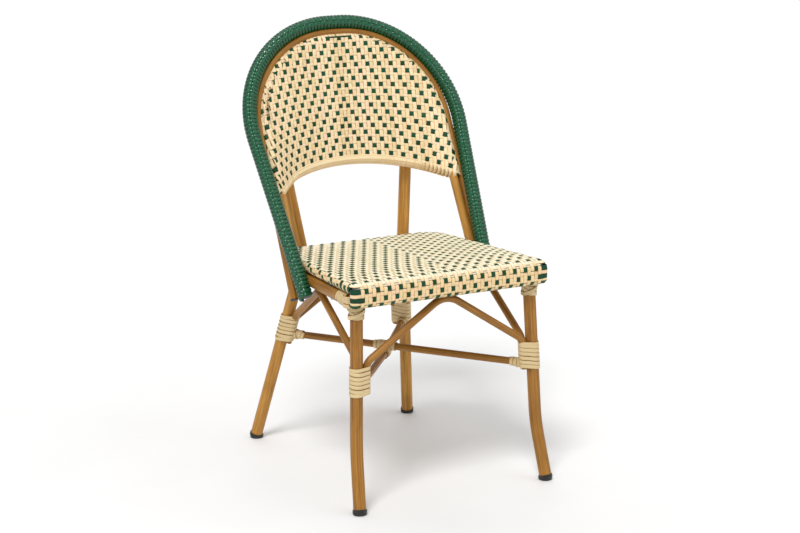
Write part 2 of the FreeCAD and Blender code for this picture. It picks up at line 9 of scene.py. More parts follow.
import bpy
import numpy as np
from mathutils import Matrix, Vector


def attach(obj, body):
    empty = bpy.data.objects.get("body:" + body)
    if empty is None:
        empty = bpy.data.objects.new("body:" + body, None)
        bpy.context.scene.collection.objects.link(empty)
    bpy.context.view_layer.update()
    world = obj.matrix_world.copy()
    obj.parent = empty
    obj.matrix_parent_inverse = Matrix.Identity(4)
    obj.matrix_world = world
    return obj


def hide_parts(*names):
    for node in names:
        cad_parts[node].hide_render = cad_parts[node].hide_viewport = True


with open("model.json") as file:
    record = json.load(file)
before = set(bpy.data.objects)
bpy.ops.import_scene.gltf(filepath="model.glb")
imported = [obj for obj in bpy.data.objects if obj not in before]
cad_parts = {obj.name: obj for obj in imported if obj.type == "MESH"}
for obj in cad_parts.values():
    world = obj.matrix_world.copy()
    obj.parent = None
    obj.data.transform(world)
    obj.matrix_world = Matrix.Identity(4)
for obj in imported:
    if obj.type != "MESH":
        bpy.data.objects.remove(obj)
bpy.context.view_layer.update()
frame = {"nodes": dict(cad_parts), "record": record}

MM = 0.001
rng = np.random.default_rng(11)


# ---- the frame's own lines

LEG_R = 12.5
BRACE_R = 7.3
BRACE_OFFSET = LEG_R + BRACE_R + 0.15
FRONT_LEG = (np.array([203, -235, 118.0]), np.array([192, -217, 427.0]))
REAR_LEG = (np.array([184, 262.5, 10.0]), np.array([117, 163, 408.0]))
STRETCHER_Z = {"upper_front": 235.0, "upper_rear": 241.0, "lower_end": 236.0}
STRETCHER_GAP = 0.4
# Directions from the left legs to the arch braces that end beside them.
FRONT_ARCH_SIDE = (-1, 0)
REAR_ARCH_SIDE = (-1, 0.15)
SIDE_ARCH_FRONT_SIDE = (-0.6, 0.8)
SIDE_ARCH_REAR_SIDE = (-0.3, -0.95)

SEAT_FRONT_Y, SEAT_REAR_Y = -252.0, 138.0
SEAT_FRONT_HALF, SEAT_REAR_HALF = 219.0, 183.0
SEAT_FRONT_TOP, SEAT_FALL = 450.0, 0.028
SEAT_ROLL = 10.5  # outer radius of the woven edge
RAIL_DROP = 36.5
RAIL_INSET = 9.5

HOOP_LEAN = math.radians(29.92)
HOOP_FOOT = np.array([209.6, -34.2, 381.0])
HOOP_HEIGHT, HOOP_BEND, HOOP_SPLAY = 574.0, 224.3, math.radians(4.76)
HOOP_R = 12.0

BACK_LEAN = math.radians(27.0)
INNER_FOOT_Z = 409.0
INNER_CROWN = np.array([0, 233.77, 840.67])
INNER_HALF, INNER_BEND, INNER_SPLAY = 197.6, 184.0, math.radians(1.1)
CROSSBAR_CENTRE = np.array([0, 192.7, 601.0])
CROSSBAR_RADIUS, CROSSBAR_PITCH = 262.0, math.radians(21.0)
CROSSBAR_HALF = 215.0


def unit(v):
    """The vector, or each row of vectors, at length 1."""
    v = np.asarray(v, float)
    return v / np.linalg.norm(v, axis=-1, keepdims=True)


def between(ends, z):
    """The point at height z on a straight line."""
    a, b = ends
    return a + (b - a) * ((z - a[2]) / (b[2] - a[2]))


def front_leg_at(z):
    """A point on the left front leg's axis."""
    return between(FRONT_LEG, z)


def rear_leg_at(z):
    """A point on the left rear leg's axis."""
    return between(REAR_LEG, z)


def flip(point):
    """The same point on the chair's other side."""
    return point * [-1, 1, 1]


def seat_top(y):
    """Height of the seat's top, which falls towards the rear."""
    return SEAT_FRONT_TOP - SEAT_FALL * (y - SEAT_FRONT_Y)


def seat_half(y):
    """Half the seat's width."""
    share = (y - SEAT_FRONT_Y) / (SEAT_REAR_Y - SEAT_FRONT_Y)
    return SEAT_FRONT_HALF + share * (SEAT_REAR_HALF - SEAT_FRONT_HALF)


def arc(centre, radius, start, end, count):
    """Points of a flat arc; the angles are in degrees."""
    angles = np.radians(np.linspace(start, end, count))
    return np.stack([centre[0] + radius * np.cos(angles), centre[1] + radius * np.sin(angles)], 1)


def resample(line, step):
    """The same line with evenly spaced points."""
    lengths = np.concatenate([[0], np.cumsum(np.linalg.norm(np.diff(line, axis=0), axis=1))])
    count = max(2, int(round(lengths[-1] / step)) + 1)
    at = np.linspace(0, lengths[-1], count)
    return np.stack([np.interp(at, lengths, line[:, k]) for k in range(line.shape[1])], 1)


# ---- strip meshes

# Sections as (across, up) in shares of a strip's width and thickness.
FLAT_SECTION = np.array([(-0.5, 0.0), (-0.46, 0.36), (-0.32, 0.5), (0.32, 0.5),
                         (0.46, 0.36), (0.5, 0.0), (0.38, -0.5), (-0.38, -0.5)])
ROUND_SECTION = np.array([(-0.5, 0.0), (-0.43, 0.26), (-0.22, 0.46), (0.0, 0.5), (0.22, 0.46),
                          (0.43, 0.26), (0.5, 0.0), (0.38, -0.5), (-0.38, -0.5)])


class Strips:
    """Flat strips, each swept along its own line, gathered into one mesh."""

    def __init__(self, name):
        self.name = name
        self.points = []
        self.faces = []
        self.grain = []
        self.count = 0

    def add(self, line, normals, width, thick, section=FLAT_SECTION):
        """Sweep one strip along a line, with its upper side facing along the normals."""
        rows = len(line)
        ahead = unit(np.gradient(line, axis=0))
        side = unit(np.cross(ahead, normals))
        up = np.cross(side, ahead)
        widths = np.broadcast_to(np.asarray(width, float), rows)[:, None, None]
        across = section[None, :, 0:1] * widths
        points = line[:, None] + side[:, None] * across + up[:, None] * section[None, :, 1:2] * thick
        columns = len(section)
        index = self.count + np.arange(rows * columns).reshape(rows, columns)
        right = np.roll(index, -1, 1)
        quads = np.stack([index[:-1], index[1:], right[1:], right[:-1]], -1).reshape(-1, 4)
        self.faces += quads.tolist()
        self.faces += [index[0].tolist(), index[-1][::-1].tolist()]
        steps = np.linalg.norm(np.diff(line, axis=0), axis=1)
        along = np.concatenate([[0], np.cumsum(steps)])[:, None]
        # For the material: places across and along the strip, and a number of the strip's own.
        grain = np.zeros((rows, columns, 3))
        grain[..., 0] = across[..., 0]
        grain[..., 1] = along
        grain[..., 2] = rng.uniform(0, 100)
        self.points.append(points.reshape(-1, 3))
        self.grain.append(grain.reshape(-1, 3))
        self.count += rows * columns

    def build(self, material, nodes):
        """Make the mesh, in place of the given CAD nodes."""
        mesh = bpy.data.meshes.new(self.name)
        mesh.from_pydata((np.concatenate(self.points) * MM).tolist(), [], self.faces)
        mesh.polygons.foreach_set("use_smooth", [True] * len(mesh.polygons))
        grain = mesh.attributes.new("grain", "FLOAT_VECTOR", "POINT")
        grain.data.foreach_set("vector", np.concatenate(self.grain).astype(np.float32).ravel())
        mesh.materials.append(material)
        piece = bpy.data.objects.new(self.name, mesh)
        bpy.context.scene.collection.objects.link(piece)
        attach(piece, "root")
        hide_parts(*nodes)


# ---- materials

class Shader:
    """A small helper that adds and links nodes of one material."""

    def __init__(self, name):
        self.material = bpy.data.materials.new(name)
        self.material.use_nodes = True
        self.tree = self.material.node_tree
        self.surface = self.tree.nodes["Principled BSDF"]

    def feed(self, socket, value):
        """Link a node's output to a socket, or set the socket's own value."""
        if isinstance(value, bpy.types.NodeSocket):
            self.tree.links.new(value, socket)
        else:
            socket.default_value = value

    def node(self, kind, inputs=(), **settings):
        made = self.tree.nodes.new(kind)
        for key, value in settings.items():
            setattr(made, key, value)
        for key, value in dict(inputs).items():
            self.feed(made.inputs[key], value)
        return made

    def math(self, operation, a, b=0.0):
        return self.node("ShaderNodeMath", {0: a, 1: b}, operation=operation).outputs[0]

    def scaled(self, value, gain, base):
        return self.math("ADD", self.math("MULTIPLY", value, gain), base)

    def weighted(self, a, share_a, b, share_b):
        return self.math("ADD", self.math("MULTIPLY", a, share_a), self.math("MULTIPLY", b, share_b))

    def ramp(self, value, stops):
        made = self.node("ShaderNodeValToRGB", {"Fac": value})
        elements = made.color_ramp.elements
        while len(elements) < len(stops):
            elements.new(0.5)
        for element, (position, colour) in zip(elements, stops):
            element.position = position
            element.color = (*colour, 1)
        return made.outputs["Color"]

    def noise(self, vector, scale, detail=3.0, roughness=0.55):
        made = self.node("ShaderNodeTexNoise", {
            "Vector": vector, "Scale": scale, "Detail": detail, "Roughness": roughness})
        return made.outputs["Fac"]

    def tinted(self, share, colour, tint):
        """The colour multiplied by a tint, by the given share; 0, 6 and 7 are the colour sockets."""
        made = self.node("ShaderNodeMix", {0: share, 6: colour, 7: tint},
                         data_type="RGBA", blend_type="MULTIPLY")
        return made.outputs[2]

    def stretch(self, vector, scale):
        made = self.node("ShaderNodeVectorMath", {0: vector, 1: scale}, operation="MULTIPLY")
        return made.outputs[0]

    def bump(self, height, strength, distance):
        made = self.node("ShaderNodeBump", {
            "Height": height, "Strength": strength, "Distance": distance})
        self.tree.links.new(made.outputs[0], self.surface.inputs["Normal"])

    def finish(self, colour, roughness, **constants):
        """Feed the surface and return the material; the constants name its other sockets."""
        self.feed(self.surface.inputs["Base Color"], colour)
        self.feed(self.surface.inputs["Roughness"], roughness)
        for key, value in constants.items():
            self.surface.inputs[key.replace("_", " ")].default_value = value
        return self.material


STRIP_WIDTH = 8.0  # about right for every strip; it places the painted shade at the strips' edges


def strip_material(name, tones, streak, edge, rough=0.42, relief=0.25, specular=0.3, sides=None):
    """Extruded plastic strip: every strip has its own tone, with fine streaks along it.

    Its two edges are darkened towards the edge colour: painted shade in the grooves between strips, and
    for the cream strips partly their pinkish edge tone. With sides, upright faces get painted shade,
    darker the less they face up.
    """
    shader = Shader(name)
    grain = shader.node("ShaderNodeAttribute", attribute_name="grain").outputs["Vector"]
    parts = shader.node("ShaderNodeSeparateXYZ", {0: grain}).outputs
    pick = shader.node("ShaderNodeTexWhiteNoise", {"W": parts[2]}, noise_dimensions="1D").outputs["Value"]
    fine = shader.noise(shader.stretch(grain, (2.2, 0.035, 1.0)), 1.0, 4.0, 0.6)
    slow = shader.noise(shader.stretch(grain, (0.12, 0.02, 1.0)), 1.0, 2.0)
    colour = shader.ramp(shader.weighted(pick, 0.62, slow, 0.38), tones)
    lines = shader.ramp(fine, [(0.30, streak), (0.62, (1, 1, 1))])
    colour = shader.tinted(0.75, colour, lines)
    # Painted shade: the colour darkens towards each strip's two edges, standing in for shade in the
    # grooves between strips; for the cream strips the edge colour also holds their pinkish edge tone.
    outward = shader.math("MULTIPLY", shader.math("ABSOLUTE", parts[0]), 2.0 / STRIP_WIDTH)
    edge_shade_and_tone = shader.ramp(outward, [(0.72, (1, 1, 1)), (0.98, edge)])
    colour = shader.tinted(1.0, colour, edge_shade_and_tone)
    # Painted shade: with sides given, faces that turn away from upward are darkened by that colour.
    if sides is not None:
        facing = shader.node("ShaderNodeNewGeometry").outputs["Normal"]
        upward = shader.node("ShaderNodeSeparateXYZ", {0: facing}).outputs[2]
        tint = shader.ramp(upward, [(0.45, sides), (0.90, (1, 1, 1))])
        colour = shader.tinted(1.0, colour, tint)
    shader.bump(fine, relief, 0.0004)
    roughness = shader.scaled(fine, 0.14, rough)
    return shader.finish(colour, roughness, Specular_IOR_Level=specular)


def cane_material(name, light, middle, dark):
    """Painted tube with a cane look: streaks along the tube and small dark knots."""
    shader = Shader(name)
    geometry = shader.node("ShaderNodeNewGeometry")
    facing = geometry.outputs["Normal"]
    place = geometry.outputs["Position"]
    around = shader.stretch(facing, (3.1, 3.1, 3.1))
    drift = shader.stretch(place, (9.0, 9.0, 9.0))
    lines = shader.node("ShaderNodeVectorMath", {0: around, 1: drift}, operation="ADD").outputs[0]
    broad = shader.noise(lines, 1.0, 2.0, 0.5)
    fine = shader.noise(lines, 4.5, 4.0, 0.65)
    cloud = shader.noise(place, 14.0, 2.0)
    streaks = shader.weighted(broad, 0.62, fine, 0.38)
    colour = shader.ramp(streaks, [(0.33, dark), (0.50, middle), (0.66, light)])
    shade = shader.ramp(cloud, [(0.35, (0.78, 0.76, 0.72)), (0.62, (1, 1, 1))])
    colour = shader.tinted(0.8, colour, shade)
    specks = shader.noise(place, 230.0, 1.0)
    knots = shader.ramp(specks, [(0.76, (1, 1, 1)), (0.82, (0.34, 0.25, 0.18))])
    colour = shader.tinted(0.55, colour, knots)
    shader.bump(fine, 0.12, 0.0005)
    roughness = shader.scaled(fine, 0.25, 0.28)
    return shader.finish(colour, roughness, Specular_IOR_Level=0.32)


def moulded_material(name, colour, rough):
    """Moulded plastic with a faint grain and slightly uneven tone."""
    shader = Shader(name)
    place = shader.node("ShaderNodeNewGeometry").outputs["Position"]
    grain = shader.noise(place, 900.0, 2.0)
    cloud = shader.noise(place, 60.0, 2.0)
    lighter = tuple(min(1.0, c * 1.9 + 0.01) for c in colour)
    tone = shader.ramp(cloud, [(0.35, colour), (0.75, lighter)])
    shader.bump(grain, 0.25, 0.0002)
    roughness = shader.scaled(grain, 0.2, rough)
    return shader.finish(tone, roughness, Specular_IOR_Level=0.45)


def metal_material(name, colour, rough):
    """Drawn or turned metal with fine scratches."""
    shader = Shader(name)
    place = shader.node("ShaderNodeNewGeometry").outputs["Position"]
    scratches = shader.noise(shader.stretch(place, (700.0, 90.0, 700.0)), 1.0, 3.0)
    darker = tuple(c * 0.72 for c in colour)
    tone = shader.ramp(scratches, [(0.3, darker), (0.7, colour)])
    shader.bump(scratches, 0.12, 0.0002)
    roughness = shader.scaled(scratches, 0.2, rough)
    return shader.finish(tone, roughness, Metallic=1.0)


BACK_TONES = [(0.15, (0.80, 0.63, 0.35)), (0.40, (0.94, 0.77, 0.49)), (0.60, (0.94, 0.82, 0.53)),
              (0.85, (0.98, 0.74, 0.54))]
SEAT_TONES = [(0.15, (0.84, 0.78, 0.53)), (0.40, (0.92, 0.87, 0.66)), (0.60, (0.91, 0.90, 0.68)),
              (0.85, (0.97, 0.85, 0.70))]
# Painted shade for the seat's upright front band and rolled sides.
SEAT_SIDE_SHADE = (0.95, 0.77, 0.58)
GREEN_TONES = [(0.2, (0.003, 0.050, 0.018)), (0.8, (0.007, 0.085, 0.034))]
PLAIT_TONES = [(0.2, (0.001, 0.062, 0.024)), (0.8, (0.003, 0.128, 0.050))]
LASH_TONES = [(0.2, (0.66, 0.51, 0.27)), (0.8, (0.76, 0.61, 0.36))]

# The fourth colour of each strip material is the painted shade at its strips' edges; for the creams it
# also holds a pinkish edge tone.
back_cream = strip_material("back_cream", BACK_TONES, (0.86, 0.76, 0.62), (0.88, 0.70, 0.56))
seat_cream = strip_material("seat_cream", SEAT_TONES, (0.86, 0.78, 0.66), (0.88, 0.74, 0.60),
                            sides=SEAT_SIDE_SHADE)
green = strip_material("woven_green", GREEN_TONES, (0.45, 0.6, 0.5), (0.7, 0.7, 0.7), specular=0.25)
plait = strip_material("plaited_green", PLAIT_TONES, (0.6, 0.72, 0.66), (0.22, 0.26, 0.24),
                       rough=0.05, relief=0.08, specular=0.55)
lashing = strip_material("lashing_cream", LASH_TONES, (0.80, 0.70, 0.55), (0.62, 0.50, 0.36))
cane = cane_material("cane_paint", (0.45, 0.22, 0.038), (0.335, 0.148, 0.022), (0.21, 0.078, 0.011))
cane_light = cane_material("cane_paint_light",
                           (0.66, 0.35, 0.075), (0.49, 0.235, 0.040), (0.31, 0.13, 0.022))
black = moulded_material("black_plastic", (0.012, 0.012, 0.012), 0.38)
aluminium = metal_material("bare_aluminium", (0.62, 0.62, 0.63), 0.32)
steel = metal_material("zinc_steel", (0.55, 0.55, 0.54), 0.28)


# ---- weave rules

WARP_THICK = 1.1
WEFT_THICK = 1.1
# Each pair is for a crossing where the weft shows and for one where the warp does: the strip's
# height there, and half of its flat stretch, in pitches.
WARP_HEIGHTS, WARP_FLATS = (-0.62, 0.50), (0.60, 0.16)
CREAM_DIP = 0.64  # a warp's dip under a cream weft, in shares of its dip under a green one
WEFT_HEIGHTS, WEFT_FLATS = (0.60, -0.55), (0.36, 0.46)


def woven_path(crossings, shows, pitch, heights, flats):
    """Places along a strip and its heights there, from whether the weft shows at each crossing."""
    half = pitch * np.where(shows, *flats)
    places = np.stack([crossings - half, crossings, crossings + half], 1).ravel()
    return places, np.repeat(np.where(shows, *heights), 3)


def extended(places, heights, before, after):
    """The same path, with stretches added at its two ends that lie on top."""
    places = np.concatenate([places[0] - before[::-1], places, places[-1] + after])
    first = np.full(len(before), abs(heights[0]))
    last = np.full(len(after), abs(heights[-1]))
    return places, np.concatenate([first, heights, last])


def weft_shows(column, row):
    """A weft passes over one warp in three, and the twill turns at the centre warp."""
    return (np.abs(column) + row) % 3 == 0


# ---- seat

SEAT_PITCH = 8.2
SEAT_LAST_COLUMN = 26
SEAT_LAST_FRONT_COLUMN = 24  # further columns start behind the front corner
SEAT_DOME = 6.0
SEAT_DOME_REACH = 38.0  # the dome rises over about this distance from the edge
SEAT_FRONT_BEND, SEAT_REAR_BEND = 7.5, 40.75
SEAT_FRONT_ROLL = 18.0
SEAT_FRONT_START = 234.0  # where the front edge starts to turn down, ahead of the origin
SEAT_SIDE_X = 218.0
SEAT_CORNER_BEND = 9.0
SEAT_CORNER_INSET = 8.0  # the outermost warps start this far behind the front edge's start
SEAT_BAND_LOW = 413.5
SEAT_UNDER = 3.3  # how far round the edge the strips run, in radians
# Green wefts ahead of the even ones, from the front underside backwards.
FRONT_GREEN_ROWS = (288.2, 275.4, 258.0, 233.0, 213.0, 193.5, 176.0, 160.5, 144.5, 129.3, 114.1, 99.0)
SEAT_GREEN_PITCH = 15.15
SEAT_REAR_ROW = -150.0
SEAT_UNDER_STEP = 6.5  # between the foremost wefts, under the front edge
SEAT_TWILL_ROW = 7  # twill number of the foremost weft; the numbers fall towards the rear
# Further places along a strip, past its last crossing.
SEAT_WARP_REAR_END = np.arange(2.0, 30.0, 2.0)
SEAT_WARP_FRONT_END = np.arange(2.5, 12.0, 2.5)
SEAT_WEFT_END = np.arange(3.0, 36.0, 3.0)
GREEN_WIDEST, CREAM_WIDEST = 10.0, 7.2
GREEN_WEFT_SHARE = 1.28  # widths of the wefts, in shares of their pitch
CREAM_WEFT_SHARE = 0.80


def seat_edge():
    """The line that the seat's edge rolls round, with its outward directions."""
    front = SEAT_FRONT_Y + SEAT_ROLL
    rear = SEAT_REAR_Y - SEAT_ROLL
    corners = [(seat_half(front) - SEAT_ROLL, front, SEAT_FRONT_BEND),
               (seat_half(rear) - SEAT_ROLL, rear, SEAT_REAR_BEND)]
    corners += [(-x, y, bend) for x, y, bend in reversed(corners)]
    outline = []
    for i, (x, y, bend) in enumerate(corners):
        here = np.array([x, y])
        into = unit(here - np.array(corners[i - 1][:2]))
        out = unit(np.array(corners[(i + 1) % 4][:2]) - here)
        turn = math.acos(float(into @ out))
        reach = bend * math.tan(turn / 2)
        centre = here - into * reach + np.array([-into[1], into[0]]) * bend
        start = math.degrees(math.atan2(*(here - into * reach - centre)[::-1]))
        outline.append(arc(centre, bend, start, start + math.degrees(turn), 24))
    outline = np.concatenate(outline)
    outline = resample(np.vstack([outline, outline[:1]]), 2.0)[:-1]
    ahead = unit(np.roll(outline, -1, 0) - np.roll(outline, 1, 0))
    return outline, np.stack([ahead[:, 1], -ahead[:, 0]], 1)


SEAT_EDGE, SEAT_EDGE_OUT = seat_edge()


def beyond(points, edge, outward):
    """For flat points: how far each is outside the edge, and the edge's nearest point and direction."""
    apart = points[:, None] - edge[None]
    nearest = np.argmin((apart ** 2).sum(-1), 1)
    out = outward[nearest]
    past = (apart[np.arange(len(points)), nearest] * out).sum(1)
    return past, edge[nearest], out


def seat_dome(inset):
    """Rise of the seat's top at a distance inside the line that its edge rolls round."""
    return SEAT_DOME * (1 - np.exp(-inset / SEAT_DOME_REACH))


def seat_surface(x, y):
    """Places and normals of the seat's top and rolled sides, and how far round the edge they are."""
    past, edge, out = beyond(np.stack([x, y], 1), SEAT_EDGE, SEAT_EDGE_OUT)
    inside = past <= 0
    flat = np.stack([x, y, seat_top(y) + seat_dome(-np.minimum(past, 0))], 1)
    turn = np.clip(past / SEAT_ROLL, 0, None)
    rolled_xy = edge + out * (SEAT_ROLL * np.sin(turn))[:, None]
    rolled_z = seat_top(edge[:, 1]) - SEAT_ROLL * (1 - np.cos(turn))
    rolled = np.column_stack([rolled_xy, rolled_z])
    level = np.array([0, SEAT_FALL, 1.0])
    tilted = np.column_stack([out * np.sin(turn)[:, None], np.cos(turn)])
    places = np.where(inside[:, None], flat, rolled)
    normals = np.where(inside[:, None], level, tilted)
    return places, unit(normals), past / SEAT_ROLL


def seat_front_profile(s):
    """Reach ahead of its start, height and slope of the front edge and band, s along a warp."""
    start_z = seat_top(-SEAT_FRONT_START) + seat_dome(-SEAT_FRONT_Y - SEAT_ROLL - SEAT_FRONT_START)
    turn_end = SEAT_FRONT_START + SEAT_FRONT_ROLL * math.pi / 2
    band_end = turn_end + start_z - SEAT_FRONT_ROLL - SEAT_BAND_LOW
    turn = np.clip((s - SEAT_FRONT_START) / SEAT_FRONT_ROLL, 0, math.pi / 2)
    under = np.clip((s - band_end) / SEAT_ROLL, 0, None)
    down = np.clip(s - turn_end, 0, band_end - turn_end)
    reach = SEAT_FRONT_ROLL * np.sin(turn) - SEAT_ROLL * (1 - np.cos(under))
    height = start_z - SEAT_FRONT_ROLL * (1 - np.cos(turn)) - down - SEAT_ROLL * np.sin(under)
    return reach, height, turn + under


def seat_rows():
    """Places of the wefts along a warp, green and cream by turns, from under the front edge back."""
    greens = list(FRONT_GREEN_ROWS)
    while greens[-1] - SEAT_GREEN_PITCH > SEAT_REAR_ROW:
        greens.append(greens[-1] - SEAT_GREEN_PITCH)
    rows = []
    for here, behind in zip(greens, greens[1:]):
        rows += [here, (here + behind) / 2]
    under = [greens[0] + 2 * SEAT_UNDER_STEP, greens[0] + SEAT_UNDER_STEP]
    return np.array(under + rows + [greens[-1]])


def seat_warp_line(x, s):
    """Places and normals of a warp at s along it, counted forward, and which of them to keep."""
    ahead = s > SEAT_FRONT_START
    top, top_normals, turn = seat_surface(np.full(len(s), x), -s)
    reach, height, slope = seat_front_profile(s)
    front = np.stack([np.full(len(s), x), -SEAT_FRONT_START - reach, height], 1)
    front_normals = np.stack([np.zeros(len(s)), -np.sin(slope), np.cos(slope)], 1)
    places = np.where(ahead[:, None], front, top)
    normals = np.where(ahead[:, None], front_normals, top_normals)
    hidden = np.where(ahead, slope > SEAT_UNDER, turn > SEAT_UNDER)
    return places, normals, ~hidden


def longest_run(keep):
    """First and last index of the longest stretch of true values."""
    best = (0, 0)
    start = None
    for i, value in enumerate(list(keep) + [False]):
        if value and start is None:
            start = i
        if not value and start is not None:
            if i - start > best[1] - best[0]:
                best = (start, i)
            start = None
    return slice(*best)


def build_seat():
    """The seat's warps from front to rear and wefts from side to side."""
    rows = seat_rows()
    numbers = SEAT_TWILL_ROW - np.arange(len(rows))
    gaps = np.abs(np.gradient(rows))
    order = np.argsort(rows)
    dips = gaps * np.where(numbers % 2 == 0, CREAM_DIP, 1.0)
    columns = np.arange(-SEAT_LAST_COLUMN, SEAT_LAST_COLUMN + 1)

    warps = Strips("seat_warps")
    for column in columns:
        shows = weft_shows(column, numbers)[order]
        at, height = woven_path(rows[order], shows, dips[order], WARP_HEIGHTS, WARP_FLATS)
        at, height = extended(at, height, SEAT_WARP_REAR_END, SEAT_WARP_FRONT_END)
        if abs(column) > SEAT_LAST_FRONT_COLUMN:
            kept = at < SEAT_FRONT_START - SEAT_CORNER_INSET
            at, height = at[kept], height[kept]
        line, normals, shown = seat_warp_line(column * SEAT_PITCH, at)
        run = longest_run(shown)
        width = SEAT_PITCH * rng.uniform(0.96, 1.01)
        warps.add((line + normals * height[:, None])[run], normals[run], width, WARP_THICK)
    warps.build(seat_cream, ["seat_weave"])

    greens = Strips("seat_wefts_green")
    creams = Strips("seat_wefts_cream")
    kinds = ((greens, GREEN_WEFT_SHARE, GREEN_WIDEST), (creams, CREAM_WEFT_SHARE, CREAM_WIDEST))
    crossings = columns * SEAT_PITCH
    for i, s in enumerate(rows):
        shows = weft_shows(columns, numbers[i])
        if s <= SEAT_FRONT_START:
            at, height = woven_path(crossings, shows, SEAT_PITCH, WEFT_HEIGHTS, WEFT_FLATS)
            at, height = extended(at, height, SEAT_WEFT_END, SEAT_WEFT_END)
            line, normals, turn = seat_surface(at, np.full(len(at), -s))
            run = longest_run(turn < SEAT_UNDER)
        else:
            inner = np.abs(columns) <= SEAT_LAST_FRONT_COLUMN
            at, height = woven_path(crossings[inner], shows[inner], SEAT_PITCH, WEFT_HEIGHTS, WEFT_FLATS)
            line, normals, height = seat_front_weft(s, at, height)
            run = slice(None)
        strips, share, widest = kinds[i % 2]
        width = min(gaps[i] * share, widest)
        strips.add((line + normals * height[:, None])[run], normals[run], width, WEFT_THICK)
    greens.build(green, ["seat_weave"])
    creams.build(seat_cream, ["seat_weave"])


def seat_front_weft(s, at, height):
    """A weft of the front band: straight across, round both corners and tucked in behind."""
    forward, level, slope = (float(values[0]) for values in seat_front_profile(np.array([s])))
    front_y = -SEAT_FRONT_START - forward
    side_x = SEAT_SIDE_X - SEAT_ROLL * (1 - forward / SEAT_FRONT_ROLL)
    bend = SEAT_CORNER_BEND
    right = [(side_x - bend + bend * math.sin(a), front_y + bend - bend * math.cos(a), a)
             for a in np.radians(np.arange(0, 200, 12))]
    flat = [(x, front_y, 0.0) for x in at]
    left = [(-x, y, -a) for x, y, a in reversed(right)]
    plan = np.array(left + flat + right)
    line = np.column_stack([plan[:, :2], np.full(len(plan), level)])
    lean = math.sin(slope)
    normals = np.stack([np.sin(plan[:, 2]) * lean, -np.cos(plan[:, 2]) * lean,
                        np.full(len(plan), math.cos(slope))], 1)
    plain = np.zeros(len(right))
    return line, normals, np.concatenate([plain, height, plain])


# ---- back

BACK_PITCH = 8.63
BACK_LAST_COLUMN = 28
BACK_ROW_STEP = 0.02885  # share of the height from the crown to the lower bar
BACK_FIRST_ROW = -0.014
BACK_ROWS = 36
BACK_LIFT = 11.2  # the weave's middle, ahead of the tubes' axes
BACK_OVERLAP = 4.0  # how far outside the inner hoop's axis the edge starts to roll
BACK_BLEND = 70.0  # width of the zone where the sheet eases on to the hoop's legs
BACK_HEM_HALF = 192.0
BACK_HEM_RADIUS = 12.3
BACK_HEM_ANGLES = range(14, 374, 36)
BACK_HEM_WIDTH = 8.6
BACK_FORWARD = np.array([0, -math.cos(BACK_LEAN), math.sin(BACK_LEAN)])
BACK_DOWN = np.array([0, -math.sin(BACK_LEAN), -math.cos(BACK_LEAN)])
BACK_UNDER = 3.2  # how far round the tubes the strips run, in radians
BACK_WARP_END = np.arange(0.01, 0.15, 0.01)
BACK_WEFT_END = np.arange(2.5, 30.0, 2.5)
BACK_FEWEST_POINTS = 4  # a shorter weft is left out


def crossbar_at(x):
    """Depth and height of the bowed lower bar's axis; it stays level past its ends."""
    inset = np.clip(np.abs(x), 0, CROSSBAR_HALF)
    depth = CROSSBAR_RADIUS - np.sqrt(CROSSBAR_RADIUS ** 2 - inset ** 2)
    y = CROSSBAR_CENTRE[1] - math.cos(CROSSBAR_PITCH) * depth
    z = CROSSBAR_CENTRE[2] - math.sin(CROSSBAR_PITCH) * depth
    return y, z


def plane_y(z):
    """Depth of the plane that the inner hoop leans in."""
    return INNER_CROWN[1] - (INNER_CROWN[2] - z) * math.tan(BACK_LEAN)


def plane_height(z):
    """Distance up that plane from the hoop's feet."""
    return (z - INNER_FOOT_Z) / math.cos(BACK_LEAN)


def back_edge():
    """The inner hoop's axis in its plane, with outward directions."""
    crown = plane_height(INNER_CROWN[2])
    spring = crown - INNER_BEND
    foot_half = INNER_HALF + spring * math.tan(INNER_SPLAY)
    side_x = INNER_HALF - INNER_BEND
    right = np.vstack([[(foot_half, 0.0)], arc((side_x, spring), INNER_BEND, 0, 90, 60)])
    left = right[::-1] * [-1, 1]
    line = resample(np.vstack([right, left]), 2.0)
    ahead = unit(np.gradient(line, axis=0))
    outward = np.stack([ahead[:, 1], -ahead[:, 0]], 1)
    return line + outward * BACK_OVERLAP, outward


BACK_EDGE, BACK_EDGE_OUT = back_edge()


def arch_top(x):
    """Height above which the hoop has closed, for each x."""
    side_x = INNER_HALF - INNER_BEND
    inset = np.clip(np.abs(x) - side_x, 0, INNER_BEND - 0.5)
    rise = np.sqrt(INNER_BEND ** 2 - inset ** 2)
    along = plane_height(INNER_CROWN[2]) - INNER_BEND + rise
    return INNER_FOOT_Z + along * math.cos(BACK_LEAN)


def ruled_y(x, z):
    """Depth of straight lines from the hoop's crown down to the bowed lower bar."""
    top = arch_top(x)
    low_y, low_z = crossbar_at(x)
    share = np.clip((top - z) / (top - low_z), 0, 1)
    return plane_y(top) + (low_y - plane_y(top)) * share


def sheet_y(x, z):
    """Depth of the woven back; beside the hoop's legs it eases forward on to them."""
    leg_x = np.full(len(x), INNER_HALF)
    gap = np.clip(ruled_y(leg_x, z) - plane_y(z), 0, None)
    near = np.clip(1 - (INNER_HALF - np.abs(x)) / BACK_BLEND, 0, 1)
    return ruled_y(x, z) - gap * near * near * (3 - 2 * near)


ARC_X = np.arange(0, 262, 2.0)
ARC_TAU = np.linspace(0, 1, 41)


def arc_lengths():
    """For each row height, the length of the woven surface from its middle out to each x."""
    flat_x = np.minimum(ARC_X, INNER_HALF)
    table = []
    for tau in ARC_TAU:
        low_z = crossbar_at(flat_x)[1]
        z = INNER_CROWN[2] - (INNER_CROWN[2] - low_z) * tau
        row = np.stack([ARC_X, sheet_y(flat_x, z), z], 1)
        steps = np.linalg.norm(np.diff(row, axis=0), axis=1)
        table.append(np.concatenate([[0], np.cumsum(steps)]))
    return np.array(table)


ARC_LENGTHS = arc_lengths()


